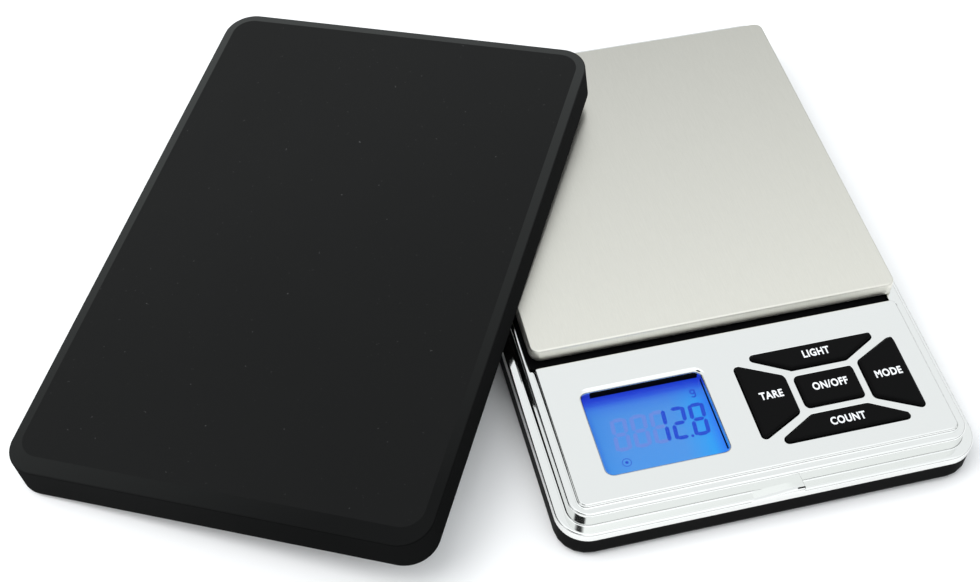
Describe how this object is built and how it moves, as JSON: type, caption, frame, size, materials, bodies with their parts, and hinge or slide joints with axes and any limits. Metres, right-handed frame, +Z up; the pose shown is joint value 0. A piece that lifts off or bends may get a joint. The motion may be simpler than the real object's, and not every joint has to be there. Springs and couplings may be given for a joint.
{
  "type": "digital gram scale",
  "caption": "Pocket digital gram scale with a plated casing, steel weighing platform, back-lit display and pressing keys, its lift-off black cover set down leaning on the platform.",
  "frame": {"origin": "middle of the lower casing's flat underside, 0.6 mm above the table that the feet stand on", "axes": "+Z up, -Y towards the user (the display and keys' side), +X to the user's right"},
  "size_m": [0.1721, 0.1387, 0.0241],
  "materials": {
    "black_plastic": "smooth satin moulding",
    "cover_plastic": "fine matt moulding, even all over",
    "chrome_plate": "bright plated plastic",
    "brushed_stainless": "fine straight brushing",
    "key_plastic": "satin, white legends",
    "display": "blue back-lit liquid crystal",
    "clear_window": "clear polished",
    "rubber": "matt",
    "silicone": "translucent silicone",
    "board": "solder-masked laminate",
    "aluminium": "machined",
    "steel": "plain nickel-plated",
    "wire": "insulated lead"
  },
  "bodies": {
    "scale_body": {"lower_casing": "black_plastic", "upper_casing": "chrome_plate", "inner_deck": "black_plastic", "rubber_foot_front_left": "rubber", "rubber_foot_front_right": "rubber", "rubber_foot_rear_left": "rubber", "rubber_foot_rear_right": "rubber", "case_screw_front_left": "steel", "case_screw_front_right": "steel", "case_screw_rear_left": "steel", "case_screw_rear_right": "steel", "circuit_board": "board", "controller_chip": "black_plastic", "backlight_panel": "silicone", "display_connector_strip": "rubber", "display_glass": "display", "display_window": "clear_window", "key_dome_mat": "silicone", "coin_cell_1": "steel", "coin_cell_2": "steel", "negative_contact": "steel", "positive_contact": "steel", "load_cell_beam": "aluminium", "load_cell_fixed_screw_1": "steel", "load_cell_fixed_screw_2": "steel", "load_cell_lead": "wire"},
    "platform": {"weighing_platform": "brushed_stainless", "platform_carrier": "black_plastic", "platform_spacer": "aluminium", "load_cell_platform_screw_1": "steel", "load_cell_platform_screw_2": "steel"},
    "light_key": {"light_key": "key_plastic"},
    "count_key": {"count_key": "key_plastic"},
    "mode_key": {"mode_key": "key_plastic"},
    "tare_key": {"tare_key": "key_plastic"},
    "on_off_key": {"on_off_key": "key_plastic"},
    "battery_door": {"battery_door": "black_plastic", "series_link_plate": "steel"},
    "cover": {"protective_cover": "cover_plastic"}
  },
  "joints": [
    {"name": "platform_press", "type": "slide", "parent": "scale_body", "child": "platform", "axis": [0, 0, -1], "range_m": [0, 0.0004], "stiffness_N_per_m": 15000},
    {"name": "light_key_press", "type": "slide", "parent": "scale_body", "child": "light_key", "axis": [0, 0, -1], "range_m": [0, 0.0006], "stiffness_N_per_m": 3300},
    {"name": "count_key_press", "type": "slide", "parent": "scale_body", "child": "count_key", "axis": [0, 0, -1], "range_m": [0, 0.0006], "stiffness_N_per_m": 3300},
    {"name": "mode_key_press", "type": "slide", "parent": "scale_body", "child": "mode_key", "axis": [0, 0, -1], "range_m": [0, 0.0006], "stiffness_N_per_m": 3300},
    {"name": "tare_key_press", "type": "slide", "parent": "scale_body", "child": "tare_key", "axis": [0, 0, -1], "range_m": [0, 0.0006], "stiffness_N_per_m": 3300},
    {"name": "on_off_key_press", "type": "slide", "parent": "scale_body", "child": "on_off_key", "axis": [0, 0, -1], "range_m": [0, 0.0006], "stiffness_N_per_m": 3300},
    {"name": "battery_door_slide", "type": "slide", "parent": "scale_body", "child": "battery_door", "axis": [1, 0, 0], "range_m": [0, 0.05]},
    {"name": "cover_lift", "type": "slide", "parent": "scale_body", "child": "cover", "axis": [0, 0, 1], "range_m": [0, 0.06]}
  ]
}
